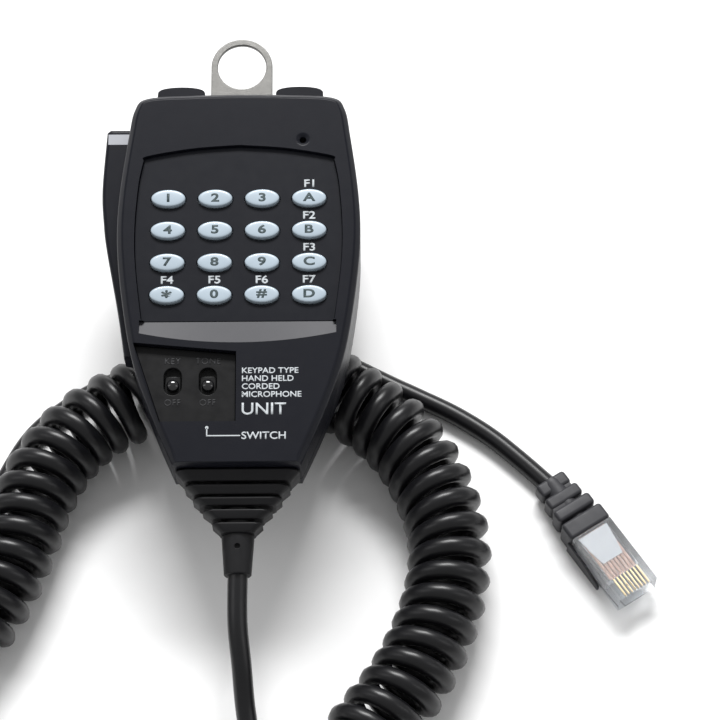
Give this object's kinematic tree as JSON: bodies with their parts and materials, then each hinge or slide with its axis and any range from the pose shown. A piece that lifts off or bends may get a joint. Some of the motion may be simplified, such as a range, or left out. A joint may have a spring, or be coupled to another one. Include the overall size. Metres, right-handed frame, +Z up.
{
  "type": "hand microphone",
  "caption": "Hand microphone with a keypad, push-to-talk bar, top buttons, hanger plate and a curly cord that ends in a modular plug.",
  "frame": {"origin": "centre of the hanging hole, in the hanger plate's mid plane", "axes": "+Y from the cord end towards the hanger, +Z up from the surface it lies on, +X to the right across the keypad"},
  "size_m": [0.201, 0.2004, 0.0555],
  "materials": {
    "case": "fine spark-eroded texture, matte",
    "panel": "smooth matte",
    "keys": "satin, slightly translucent",
    "silicone": "soft matte",
    "board": "solder mask",
    "components": "moulded epoxy",
    "lens": "clear resin",
    "steel": "rolled, lightly brushed",
    "screw": "zinc plated",
    "rubber": "matte",
    "cord": "smooth, slightly glossy jacket",
    "boot": "matte",
    "clear_plastic": "clear polycarbonate",
    "gold": "gold plated",
    "wire": "insulation",
    "knob": "polished"
  },
  "bodies": {
    "microphone": {"front_case": "case", "rear_case": "case", "key_panel": "panel", "switch_plate": "panel", "key_mat": "silicone", "circuit_board": "board", "board_parts": "components", "key_lights": "lens", "mic_capsule": "steel", "mic_holder": "rubber", "ptt_pin": "steel", "ptt_spring": "steel", "ptt_switch": "components", "top_switches": "components", "slide_switches": "components", "hanger_plate": "steel", "hanger_screws": "screw", "case_screws": "screw", "board_screws": "screw", "strain_relief": "rubber", "cord_clamp": "steel", "inner_wires": "wire", "board_connector": "lens", "cord_lead": "cord", "cord_coil": "cord", "cord_tail": "cord", "plug_boot": "boot", "plug_body": "clear_plastic", "plug_contacts": "gold", "plug_wires": "wire"},
    "key_1": {"key_1": "keys"},
    "key_2": {"key_2": "keys"},
    "key_3": {"key_3": "keys"},
    "key_a": {"key_a": "keys"},
    "key_4": {"key_4": "keys"},
    "key_5": {"key_5": "keys"},
    "key_6": {"key_6": "keys"},
    "key_b": {"key_b": "keys"},
    "key_7": {"key_7": "keys"},
    "key_8": {"key_8": "keys"},
    "key_9": {"key_9": "keys"},
    "key_c": {"key_c": "keys"},
    "key_star": {"key_star": "keys"},
    "key_0": {"key_0": "keys"},
    "key_hash": {"key_hash": "keys"},
    "key_d": {"key_d": "keys"},
    "ptt_bar": {"ptt_bar": "case"},
    "up_button": {"up_button": "case"},
    "down_button": {"down_button": "case"},
    "lock_knob": {"lock_knob": "knob"},
    "tone_knob": {"tone_knob": "knob"},
    "plug_latch": {"plug_latch": "clear_plastic"}
  },
  "joints": [
    {"name": "key_1_press", "type": "slide", "parent": "microphone", "child": "key_1", "axis": [0, 0.1564, -0.9877], "range_m": [0, 0.0008], "stiffness_N_per_m": 900},
    {"name": "key_2_press", "type": "slide", "parent": "microphone", "child": "key_2", "axis": [0, 0.1564, -0.9877], "range_m": [0, 0.0008], "stiffness_N_per_m": 900},
    {"name": "key_3_press", "type": "slide", "parent": "microphone", "child": "key_3", "axis": [0, 0.1564, -0.9877], "range_m": [0, 0.0008], "stiffness_N_per_m": 900},
    {"name": "key_a_press", "type": "slide", "parent": "microphone", "child": "key_a", "axis": [0, 0.1564, -0.9877], "range_m": [0, 0.0008], "stiffness_N_per_m": 900},
    {"name": "key_4_press", "type": "slide", "parent": "microphone", "child": "key_4", "axis": [0, 0.1564, -0.9877], "range_m": [0, 0.0008], "stiffness_N_per_m": 900},
    {"name": "key_5_press", "type": "slide", "parent": "microphone", "child": "key_5", "axis": [0, 0.1564, -0.9877], "range_m": [0, 0.0008], "stiffness_N_per_m": 900},
    {"name": "key_6_press", "type": "slide", "parent": "microphone", "child": "key_6", "axis": [0, 0.1564, -0.9877], "range_m": [0, 0.0008], "stiffness_N_per_m": 900},
    {"name": "key_b_press", "type": "slide", "parent": "microphone", "child": "key_b", "axis": [0, 0.1564, -0.9877], "range_m": [0, 0.0008], "stiffness_N_per_m": 900},
    {"name": "key_7_press", "type": "slide", "parent": "microphone", "child": "key_7", "axis": [0, 0.1564, -0.9877], "range_m": [0, 0.0008], "stiffness_N_per_m": 900},
    {"name": "key_8_press", "type": "slide", "parent": "microphone", "child": "key_8", "axis": [0, 0.1564, -0.9877], "range_m": [0, 0.0008], "stiffness_N_per_m": 900},
    {"name": "key_9_press", "type": "slide", "parent": "microphone", "child": "key_9", "axis": [0, 0.1564, -0.9877], "range_m": [0, 0.0008], "stiffness_N_per_m": 900},
    {"name": "key_c_press", "type": "slide", "parent": "microphone", "child": "key_c", "axis": [0, 0.1564, -0.9877], "range_m": [0, 0.0008], "stiffness_N_per_m": 900},
    {"name": "key_star_press", "type": "slide", "parent": "microphone", "child": "key_star", "axis": [0, 0.1564, -0.9877], "range_m": [0, 0.0008], "stiffness_N_per_m": 900},
    {"name": "key_0_press", "type": "slide", "parent": "microphone", "child": "key_0", "axis": [0, 0.1564, -0.9877], "range_m": [0, 0.0008], "stiffness_N_per_m": 900},
    {"name": "key_hash_press", "type": "slide", "parent": "microphone", "child": "key_hash", "axis": [0, 0.1564, -0.9877], "range_m": [0, 0.0008], "stiffness_N_per_m": 900},
    {"name": "key_d_press", "type": "slide", "parent": "microphone", "child": "key_d", "axis": [0, 0.1564, -0.9877], "range_m": [0, 0.0008], "stiffness_N_per_m": 900},
    {"name": "up_press", "type": "slide", "parent": "microphone", "child": "up_button", "axis": [0, -0.9877, -0.1564], "range_m": [0, 0.0009], "stiffness_N_per_m": 900},
    {"name": "down_press", "type": "slide", "parent": "microphone", "child": "down_button", "axis": [0, -0.9877, -0.1564], "range_m": [0, 0.0009], "stiffness_N_per_m": 900},
    {"name": "ptt_press", "type": "hinge", "parent": "microphone", "child": "ptt_bar", "pos_m": [-0.023, -0.07889, -0.01331], "axis": [0, 0.1564, -0.9877], "range_deg": [0, 3], "stiffness_Nm_per_rad": 2, "deforming": ["ptt_spring"]},
    {"name": "lock_slide", "type": "slide", "parent": "microphone", "child": "lock_knob", "axis": [0, 0.9877, 0.1564], "range_m": [0, 0.0018]},
    {"name": "tone_slide", "type": "slide", "parent": "microphone", "child": "tone_knob", "axis": [0, 0.9877, 0.1564], "range_m": [0, 0.0018]},
    {"name": "latch_press", "type": "hinge", "parent": "microphone", "child": "plug_latch", "pos_m": [0.10017, -0.13447, -0.04358], "axis": [0.8387, 0.5446, 0], "range_deg": [0, 4], "stiffness_Nm_per_rad": 0.02}
  ]
}
